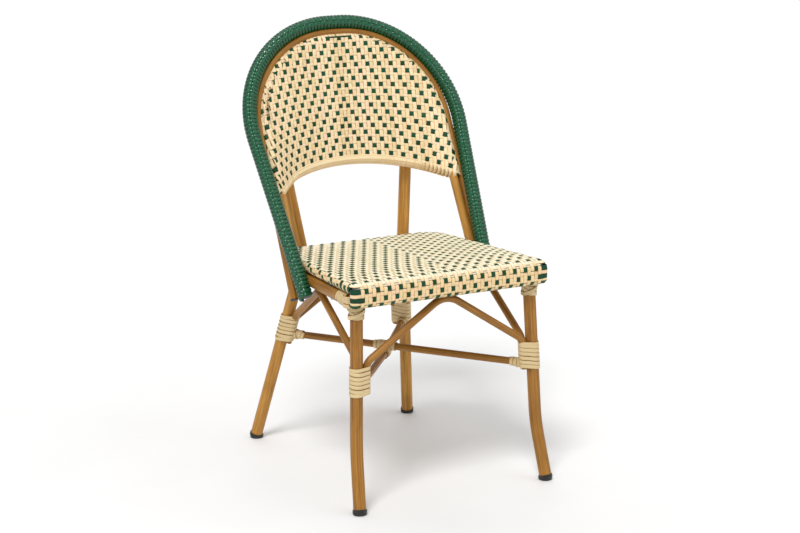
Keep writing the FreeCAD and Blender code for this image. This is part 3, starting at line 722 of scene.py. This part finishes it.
def back_x(u, tau):
    """The x of places at distance u along the rows, so that the warps keep one width on the curve."""
    at = np.clip(tau, 0, 1) * (len(ARC_TAU) - 1)
    low = np.minimum(at.astype(int), len(ARC_TAU) - 2)
    share = (at - low)[:, None]
    lengths = ARC_LENGTHS[low] * (1 - share) + ARC_LENGTHS[low + 1] * share
    x = [np.interp(abs(distance), row, ARC_X) for distance, row in zip(u, lengths)]
    return np.sign(u) * np.array(x)


def back_surface(u, tau):
    """Places and normals of the woven back, and which of them to keep.

    u runs along the rows, and tau runs down the warps, from 0 at the crown to 1 at the lower bar.
    """
    x = back_x(u, tau)
    low_y, low_z = crossbar_at(x)
    reach = INNER_CROWN[2] - low_z
    z = INNER_CROWN[2] - reach * np.minimum(tau, 1)
    past, edge, out = beyond(np.stack([x, plane_height(z)], 1), BACK_EDGE, BACK_EDGE_OUT)
    step = 2.0
    slope_x = (sheet_y(x + step, z) - sheet_y(x - step, z)) / (2 * step)
    slope_z = (sheet_y(x, z + step) - sheet_y(x, z - step)) / (2 * step)
    sheet = np.stack([x, sheet_y(x, z), z], 1) + BACK_FORWARD * BACK_LIFT
    sheet_normals = unit(np.stack([slope_x, -np.ones(len(x)), slope_z], 1))
    turn = np.clip(past / BACK_LIFT, 0, None)
    axis_z = INNER_FOOT_Z + edge[:, 1] * math.cos(BACK_LEAN)
    axis = np.stack([edge[:, 0], plane_y(axis_z), axis_z], 1)
    outward = np.stack([out[:, 0], out[:, 1] * math.sin(BACK_LEAN), out[:, 1] * math.cos(BACK_LEAN)], 1)
    rolled_normals = outward * np.sin(turn)[:, None] + BACK_FORWARD * np.cos(turn)[:, None]
    rolled = axis + rolled_normals * BACK_LIFT
    outside = (past > 0)[:, None]
    places = np.where(outside, rolled, sheet)
    normals = np.where(outside, rolled_normals, sheet_normals)
    below = np.clip(tau - 1, 0, None) * reach / BACK_LIFT
    lower_axis = np.stack([x, sheet_y(x, low_z), low_z], 1)
    lower_normals = BACK_FORWARD * np.cos(below)[:, None] + BACK_DOWN * np.sin(below)[:, None]
    under = (tau > 1)[:, None] & (past <= BACK_LIFT)[:, None]
    places = np.where(under, lower_axis + lower_normals * BACK_LIFT, places)
    normals = np.where(under, lower_normals, normals)
    on_leg = (tau > 1) & (past > 0)
    return places, normals, (turn < BACK_UNDER) & (below < BACK_UNDER) & ~on_leg


def build_back():
    """The back's warps and wefts, and the hem round the lower bar."""
    numbers = np.arange(BACK_ROWS)
    rows = BACK_FIRST_ROW + BACK_ROW_STEP * numbers
    dips = BACK_ROW_STEP * np.where(numbers % 2 == 0, 1.0, CREAM_DIP)
    columns = np.arange(-BACK_LAST_COLUMN, BACK_LAST_COLUMN + 1)

    warps = Strips("back_warps")
    for column in columns:
        shows = weft_shows(column, numbers)
        at, height = woven_path(rows, shows, dips, WARP_HEIGHTS, WARP_FLATS)
        at, height = extended(at, height, BACK_WARP_END, BACK_WARP_END)
        line, normals, shown = back_surface(np.full(len(at), column * BACK_PITCH), at)
        run = longest_run(shown)
        width = BACK_PITCH * rng.uniform(0.95, 1.0)
        warps.add((line + normals * height[:, None])[run], normals[run], width, WARP_THICK)
    warps.build(back_cream, ["back_weave"])

    greens = Strips("back_wefts_green")
    creams = Strips("back_wefts_cream")
    kinds = ((greens, GREEN_WEFT_SHARE), (creams, CREAM_WEFT_SHARE))
    for number, tau in zip(numbers, rows):
        shows = weft_shows(columns, number)
        at, height = woven_path(columns * BACK_PITCH, shows, BACK_PITCH, WEFT_HEIGHTS, WEFT_FLATS)
        at, height = extended(at, height, BACK_WEFT_END, BACK_WEFT_END)
        line, normals, shown = back_surface(at, np.full(len(at), tau))
        run = longest_run(shown)
        if run.stop - run.start < BACK_FEWEST_POINTS:
            continue
        pitch = (INNER_CROWN[2] - crossbar_at(line[run, 0])[1]) * BACK_ROW_STEP
        strips, share = kinds[number % 2]
        strips.add((line + normals * height[:, None])[run], normals[run], pitch * share, WEFT_THICK)
    greens.build(green, ["back_weave"])
    creams.build(back_cream, ["back_weave"])

    hem = Strips("back_hem")
    x = np.linspace(-BACK_HEM_HALF, BACK_HEM_HALF, 90)
    low_y, low_z = crossbar_at(x)
    axis = np.stack([x, low_y, low_z], 1)
    for angle in np.radians(BACK_HEM_ANGLES):
        normal = BACK_FORWARD * math.cos(angle) + BACK_DOWN * math.sin(angle)
        hem.add(axis + normal * BACK_HEM_RADIUS, np.tile(normal, (len(x), 1)), BACK_HEM_WIDTH, WARP_THICK)
    hem.build(back_cream, ["back_weave"])


# ---- plaited hoop

WIND_PITCH = 8.05
WIND_WIDTH = 7.9
WIND_THICK = 3.8
WIND_BASE = HOOP_R + 1.2
WIND_RISE = 1.7
WIND_PAST_END = 8.0  # the winding runs this far past the tube's ends
WIND_STEPS = 32  # points per turn
LEADER_WIDTH = 7.0
LEADER_THICK = 2.0
LEADER_APART = math.radians(15.5)  # from the ridge's middle to each leader
LEADER_HALF = math.radians(18.0)
LEADER_HEIGHTS, LEADER_FLATS = (0.0, 2.5), (0.25, 0.30)
# Where the ridge lies round the hoop, in degrees from its front towards its outside, by the
# share of the hoop's length from its left foot.
RIDGE_SHARES = (0, 0.35, 0.5, 0.65, 1)
RIDGE_DEGREES = (-34, -24, -8, 18, 40)
HOOP_INSIDE_Z = 500.0  # a height inside the arch


def hoop_line():
    """The outer hoop's axis from its left foot over the crown to its right foot, evenly spaced."""
    crown_half = HOOP_FOOT[0] + HOOP_HEIGHT * math.tan(HOOP_SPLAY)
    corner = np.array([crown_half, HOOP_HEIGHT])
    foot = np.array([HOOP_FOOT[0], 0.0])
    into = unit(corner - foot)
    turn = math.acos(float(into @ np.array([-1.0, 0.0])))
    reach = HOOP_BEND * math.tan(turn / 2)
    start = corner - into * reach
    centre = start + np.array([-into[1], into[0]]) * HOOP_BEND
    first = math.degrees(math.atan2(*(start - centre)[::-1]))
    right = np.vstack([[foot - into * WIND_PAST_END], arc(centre, HOOP_BEND, first, 90, 80)])
    flat = resample(np.vstack([right, right[::-1] * [-1, 1]]), 1.0)
    return np.stack([flat[:, 0], HOOP_FOOT[1] + flat[:, 1] * math.sin(HOOP_LEAN),
                     HOOP_FOOT[2] + flat[:, 1] * math.cos(HOOP_LEAN)], 1)


def ridge_angle(share):
    """Where the plaited ridge lies round the hoop."""
    return np.radians(np.interp(share, RIDGE_SHARES, RIDGE_DEGREES))


def build_hoop():
    """One strip wound round the outer hoop, and the two leaders plaited through its turns."""
    line = hoop_line()
    ahead = unit(np.gradient(line, axis=0))
    forward = np.array([0, -math.cos(HOOP_LEAN), math.sin(HOOP_LEAN)])
    outward = np.cross(ahead, forward)
    inside = np.array([0, line[:, 1].mean(), HOOP_INSIDE_Z])
    outward *= np.sign((outward * (line - inside)).sum(1))[:, None]
    length = len(line) - 1.0  # the line's points are 1 mm apart

    def around(at, angle, radius):
        """Places and normals round the hoop, at a length along it and an angle from its front."""
        index = np.arange(len(line))
        centre = np.stack([np.interp(at, index, line[:, k]) for k in range(3)], 1)
        out = unit(np.stack([np.interp(at, index, outward[:, k]) for k in range(3)], 1))
        normals = forward * np.cos(angle)[:, None] + out * np.sin(angle)[:, None]
        return centre + normals * radius[:, None], normals

    winding = Strips("hoop_winding")
    turns = int((length - WIND_WIDTH) / WIND_PITCH)
    start = (length - turns * WIND_PITCH) / 2
    step = np.arange(turns * WIND_STEPS + 1) / WIND_STEPS
    at = start + step * WIND_PITCH
    angle = math.pi + step * 2 * math.pi
    offset = (angle - ridge_angle(at / length) + math.pi) % (2 * math.pi) - math.pi
    ridge = np.where(np.floor(step) % 2 == 0, -LEADER_APART, LEADER_APART)
    bump = np.clip(1 - ((offset - ridge) / LEADER_HALF) ** 2, 0, 1)
    places, normals = around(at, angle, WIND_BASE + WIND_RISE * np.sqrt(bump))
    winding.add(places, normals, WIND_WIDTH, WIND_THICK, ROUND_SECTION)
    winding.build(plait, ["hoop_wrap"])

    leaders = Strips("hoop_leaders")
    middles = start + (np.arange(turns) + 0.5) * WIND_PITCH
    for side, parity in ((-1, 0), (1, 1)):
        covered = np.arange(turns) % 2 == parity
        at, height = woven_path(middles, covered, WIND_PITCH, LEADER_HEIGHTS, LEADER_FLATS)
        at = np.clip(at, 0, length)
        angle = ridge_angle(at / length) + side * LEADER_APART
        places, normals = around(at, angle, WIND_BASE + height)
        leaders.add(places, normals, LEADER_WIDTH, LEADER_THICK, ROUND_SECTION)
    leaders.build(plait, ["hoop_wrap"])


# ---- lashings

LASH_LOW, LASH_HIGH = 227.0, 283.0
LASH_PITCH = 8.4
LASH_WIDTH = 7.9
LASH_THICK = 2.0
LASH_TILT = 1.2
LASH_TURN_POINTS = 40
LASH_START = (-0.8, 0.6)  # direction from a left leg to where its strip starts
CLOSING_TURN = 0.7  # the first and last part of a winding runs level
TUBE_PITCH = 8.0  # of the windings along the stretchers
TUBE_TURN_POINTS = 36
SECOND_LAYER = 1.7  # how far a second winding lies above the first
SPUR_START = LEG_R - 1.0
# Windings along a stretcher beside a leg: reach, slant, first angle and height of each.
SPUR_LAYERS = ((52.0, 1.6, 0.4, 0.0), (36.0, -4.0, 2.0, SECOND_LAYER))
CROSSING_LONG, CROSSING_SHORT = 27.0, 15.0  # halves of the windings where the stretchers cross
CROSSING_SLANT = 1.8

SEAT_LASH_TOP = 423.0
SEAT_LASH_TURNS, SEAT_LASH_PITCH, SEAT_LASH_TILT = 6.4, 8.2, 3.0
SEAT_LASH_BOTH = 2.4  # so many turns go round leg and rail together
SEAT_LASH_LEG = 4.0  # and from this turn on they go round the leg alone
SEAT_LASH_FRONT = math.radians(-119)  # where the strips of a seat corner's lashing cross
CROSS_Z, CROSS_TURNS, CROSS_TILT = 387.0, 1.1, 7.0
RAIL_ENDS = (-217.0, 95.0)  # two places along a side rail; the first is its front end
RAIL_LASH_START, RAIL_LASH_END = -4.0, 40.0
RAIL_LASH_SLANT = 3.4


def beside(leg_at, z, side):
    """A point on the axis of a brace that lies against a leg."""
    along = unit(leg_at(z + 1) - leg_at(z))
    outward = np.array([side[0], side[1], 0.0])
    outward -= along * (outward @ along)
    return leg_at(z) + unit(outward) * BRACE_OFFSET


def hull(points):
    """Convex outline of flat points, counter-clockwise."""
    points = sorted(map(tuple, points))

    def half(sequence):
        kept = []
        for p in sequence:
            while len(kept) > 1:
                (ax, ay), (bx, by) = kept[-2], kept[-1]
                if (bx - ax) * (p[1] - ay) - (by - ay) * (p[0] - ax) > 0:
                    break
                kept.pop()
            kept.append(p)
        return kept[:-1]

    return np.array(half(points) + half(points[::-1]))


def winding_outline(circles):
    """Distance from the first circle's centre to a strip pulled tight round all circles, by angle."""
    rim = np.concatenate([arc(centre, radius, 0, 360, 90)[:-1] for centre, radius in circles])
    outline = hull(rim - circles[0][0])
    outline = resample(np.vstack([outline, outline[:1]]), 1.0)
    angles = np.arctan2(outline[:, 1], outline[:, 0])
    order = np.argsort(angles)
    return angles[order], np.linalg.norm(outline, axis=1)[order]


def wind(strips, centre_at, outlines, start_z, turns, pitch, tilt, phase):
    """A strip wound round a leg; outlines is a list of (turn, angles, distances), blended by turn."""
    step = np.arange(int(turns * LASH_TURN_POINTS) + 1) / LASH_TURN_POINTS
    angle = phase + step * 2 * math.pi
    wrapped = (angle + math.pi) % (2 * math.pi) - math.pi
    distance = np.interp(wrapped, *outlines[0][1:], period=2 * math.pi)
    for before, after in zip(outlines, outlines[1:]):
        share = np.clip((step - before[0]) / (after[0] - before[0]), 0, 1)
        further = np.interp(wrapped, *after[1:], period=2 * math.pi)
        distance = distance * (1 - share) + further * share
    wobble = 0.35 * np.sin(step * 1.7 + phase) + 0.25 * np.sin(angle * 2 + phase)
    level = np.clip(step - CLOSING_TURN, 0, turns - 2 * CLOSING_TURN)
    z = start_z - pitch * level + tilt * np.cos(angle - phase) + wobble
    centre = np.array([centre_at(value) for value in z])
    flat = np.stack([np.cos(angle), np.sin(angle), np.zeros(len(angle))], 1)
    line = centre + flat * (distance + LASH_THICK * 0.5)[:, None]
    ahead = unit(np.gradient(line, axis=0))
    normals = unit(np.cross(ahead, [0, 0, 1.0]))
    normals *= np.sign((normals * flat).sum(1))[:, None]
    strips.add(line, normals, LASH_WIDTH, LASH_THICK)


def wind_tube(strips, start, end, radius, pitch, slant, phase):
    """A strip wound along a straight tube; the slant leans its turns."""
    length = np.linalg.norm(end - start)
    along = unit(end - start)
    level = unit(np.cross(along, [0, 0, 1.0]))
    upright = np.cross(level, along)
    turns = (length - LASH_WIDTH) / pitch
    step = np.linspace(0, turns, int(turns * TUBE_TURN_POINTS))
    angle = phase + step * 2 * math.pi
    shift = LASH_WIDTH / 2 + step * pitch + slant * np.sin(angle)
    out = level * np.cos(angle)[:, None] + upright * np.sin(angle)[:, None]
    line = start + along * shift[:, None] + out * (radius + LASH_THICK * 0.5)
    strips.add(line, out, LASH_WIDTH, LASH_THICK)


def stretcher_ends():
    """The upper stretcher's ends, the lower one's ends and middle, and where the upper one crosses."""
    upper = (front_leg_at(STRETCHER_Z["upper_front"]), flip(rear_leg_at(STRETCHER_Z["upper_rear"])))
    front = flip(front_leg_at(STRETCHER_Z["lower_end"]))
    rear = rear_leg_at(STRETCHER_Z["lower_end"])
    share = upper[0][0] / (upper[0][0] - upper[1][0])
    over = upper[0] + (upper[1] - upper[0]) * share
    middle = np.array([0, over[1], over[2] - 2 * BRACE_R - STRETCHER_GAP])
    return upper, (front, middle, rear), over


def on_side(leg_at, sign):
    """The axis of the leg on the chair's left for sign 1, and on its right for sign -1."""
    return lambda z: leg_at(z) * [sign, 1, 1]


def leg_lashing(name, leg_at, sides, spur, sign):
    """Windings round a leg and the brace ends beside it, with a spur along the stretcher."""
    strips = Strips(name)
    centre_at = on_side(leg_at, sign)
    middle_z = (LASH_LOW + LASH_HIGH) / 2
    lean = unit(leg_at(middle_z + 1) - leg_at(middle_z))
    circles = [(centre_at(middle_z)[:2], LEG_R / lean[2])]
    for side in sides:
        point = beside(leg_at, middle_z, side)
        level = point + lean * ((middle_z - point[2]) / lean[2])
        circles.append(((level * [sign, 1, 1])[:2], BRACE_R / lean[2]))
    wide = winding_outline(circles)
    turns = (LASH_HIGH - LASH_LOW - LASH_WIDTH) / LASH_PITCH + 2 * CLOSING_TURN
    start_z = LASH_HIGH - LASH_WIDTH / 2
    phase = math.atan2(LASH_START[1], LASH_START[0] * sign)
    wind(strips, centre_at, [(0, *wide)], start_z, turns, LASH_PITCH, LASH_TILT, phase)
    start, end = spur
    along = unit(end - start)
    near = start + along * SPUR_START
    for reach, slant, angle, layer in SPUR_LAYERS:
        wind_tube(strips, near, start + along * reach, BRACE_R + layer, TUBE_PITCH, slant, angle)
    strips.build(lashing, [name])


def seat_lashing(name, sign, phase):
    """Windings round the top of a front leg and the end of the side rail behind it."""
    strips = Strips(name)
    centre_at = on_side(front_leg_at, sign)
    rail = [np.array([sign * (seat_half(y) - RAIL_INSET), y, seat_top(y) - RAIL_DROP])
            for y in RAIL_ENDS]
    along = unit(rail[1] - rail[0])
    corner = (rail[0] - along * 3.0)[:2]
    both = winding_outline([(centre_at(SEAT_LASH_TOP)[:2], LEG_R), (corner, LEG_R)])
    angles = np.linspace(-math.pi, math.pi, 60)
    leg_only = (angles, np.full(60, LEG_R))
    outlines = [(0, *both), (SEAT_LASH_BOTH, *both), (SEAT_LASH_LEG, *leg_only)]
    wind(strips, centre_at, outlines, SEAT_LASH_TOP, SEAT_LASH_TURNS, SEAT_LASH_PITCH,
         SEAT_LASH_TILT, phase)
    for side in (1.0, -1.0):
        start = SEAT_LASH_FRONT + side * 0.4 + math.pi / 2
        outline = (angles, np.full(60, LEG_R + 1.5 + 0.8 * side))
        wind(strips, centre_at, [(0, *outline)], CROSS_Z, CROSS_TURNS, 0.0, CROSS_TILT * side, start)
    start = rail[0] + along * RAIL_LASH_START
    end = rail[0] + along * RAIL_LASH_END
    wind_tube(strips, start, end, LEG_R, SEAT_LASH_PITCH, RAIL_LASH_SLANT, 0.8)
    strips.build(lashing, [name])


def build_lashings():
    """The lashings of the four legs, the two seat corners and the stretchers' crossing."""
    upper, lower, over = stretcher_ends()
    front_sides = (FRONT_ARCH_SIDE, SIDE_ARCH_FRONT_SIDE)
    rear_sides = (REAR_ARCH_SIDE, SIDE_ARCH_REAR_SIDE)
    leg_lashing("lashing_front_left", front_leg_at, front_sides, (upper[0], upper[1]), 1)
    leg_lashing("lashing_front_right", front_leg_at, front_sides, (lower[0], lower[1]), -1)
    leg_lashing("lashing_rear_left", rear_leg_at, rear_sides, (lower[2], lower[1]), 1)
    leg_lashing("lashing_rear_right", rear_leg_at, rear_sides, (upper[1], upper[0]), -1)
    seat_lashing("lashing_seat_left", 1, 2.6)
    seat_lashing("lashing_seat_right", -1, 0.5)

    strips = Strips("lashing_crossing")
    for middle, run, slant, phase in ((over, upper[1] - upper[0], 5.0, 0.0),
                                      (lower[1], lower[2] - lower[0], -5.0, 1.0)):
        along = unit(run)
        far, near = along * CROSSING_LONG, along * CROSSING_SHORT
        wind_tube(strips, middle - far, middle + far, BRACE_R, TUBE_PITCH, CROSSING_SLANT, phase)
        wind_tube(strips, middle - near, middle + near, BRACE_R + SECOND_LAYER, TUBE_PITCH, slant, 0.0)
    strips.build(lashing, ["lashing_crossing"])


# ---- finishes of the frame

LIGHTER_TUBES = ("inner_hoop", "rear_leg_left", "rear_leg_right")


def finish_frame():
    """Each CAD node gets the finish of its material slot, and a few tubes the lighter paint."""
    slots = {row["node"]: row["material_slot"] for row in frame["record"]["subparts"]}
    finishes = {"cane_paint": cane, "black_plastic": black, "bare_tube": aluminium,
                "fastener_steel": steel, "lashing_strip": lashing, "green_plait": plait,
                "seat_strip": seat_cream, "back_strip": back_cream}
    for name, node in frame["nodes"].items():
        material = cane_light if name in LIGHTER_TUBES else finishes[slots[name]]
        node.data.materials.clear()
        node.data.materials.append(material)


# ---- floor, light, camera

# Lengths from here on are in metres.
FLOOR_SIZE = 30
SKY_STRENGTH, SKY_SEEN = 0.56, 1.0  # its light on the chair, and its brightness to the camera
# Lamps: name, the direction it shines from, strength and apparent size in degrees.
LAMPS = (("key", (-2.4, -2.2, 5.0), 1.75, 20.0),
         ("fill", (3.0, -2.6, 3.0), 0.45, 60.0),
         ("rim", (0.8, 3.4, 4.0), 0.40, 50.0))
CAMERA_PLACE = (-1.9595, -3.6006, 1.4000)
CAMERA_LOOK = (0.4685, 0.8515, -0.2348)
CAMERA_LENS, CAMERA_SENSOR = 93.5, 36.0  # in millimetres


def build_stage():
    """A pale floor, an even white surround and three soft lamps."""
    bpy.ops.mesh.primitive_plane_add(size=FLOOR_SIZE, location=(0, 0, 0))
    floor = bpy.context.object
    floor.name = "floor"
    shader = Shader("pale_floor")
    place = shader.node("ShaderNodeNewGeometry").outputs["Position"]
    cloud = shader.noise(place, 3.0, 2.0)
    tone = shader.ramp(cloud, [(0.3, (0.86, 0.86, 0.86)), (0.7, (0.89, 0.89, 0.89))])
    floor.data.materials.append(shader.finish(tone, 0.6))

    world = bpy.data.worlds.new("studio")
    bpy.context.scene.world = world
    world.use_nodes = True
    background = world.node_tree.nodes["Background"]
    background.inputs["Color"].default_value = (1, 1, 1, 1)
    seen = world.node_tree.nodes.new("ShaderNodeLightPath").outputs["Is Camera Ray"]
    strength = world.node_tree.nodes.new("ShaderNodeMapRange")
    strength.inputs["To Min"].default_value = SKY_STRENGTH
    strength.inputs["To Max"].default_value = SKY_SEEN
    world.node_tree.links.new(seen, strength.inputs["Value"])
    world.node_tree.links.new(strength.outputs["Result"], background.inputs["Strength"])
    bpy.context.scene.view_settings.view_transform = "Standard"

    for name, place, energy, size in LAMPS:
        light = bpy.data.lights.new(name, "SUN")
        light.energy = energy
        light.angle = math.radians(size)
        lamp = bpy.data.objects.new(name, light)
        lamp.location = place
        lamp.rotation_euler = Vector(place).to_track_quat("Z", "Y").to_euler()
        bpy.context.scene.collection.objects.link(lamp)


def build_camera():
    """The photograph's viewpoint."""
    data = bpy.data.cameras.new("camera")
    data.sensor_width = CAMERA_SENSOR
    data.lens = CAMERA_LENS
    camera = bpy.data.objects.new("camera", data)
    camera.location = CAMERA_PLACE
    camera.rotation_euler = Vector(CAMERA_LOOK).to_track_quat("-Z", "Y").to_euler()
    bpy.context.scene.collection.objects.link(camera)
    bpy.context.scene.camera = camera


build_camera()
build_seat()
build_back()
build_hoop()
build_lashings()
finish_frame()
build_stage()

bpy.context.view_layer.update()
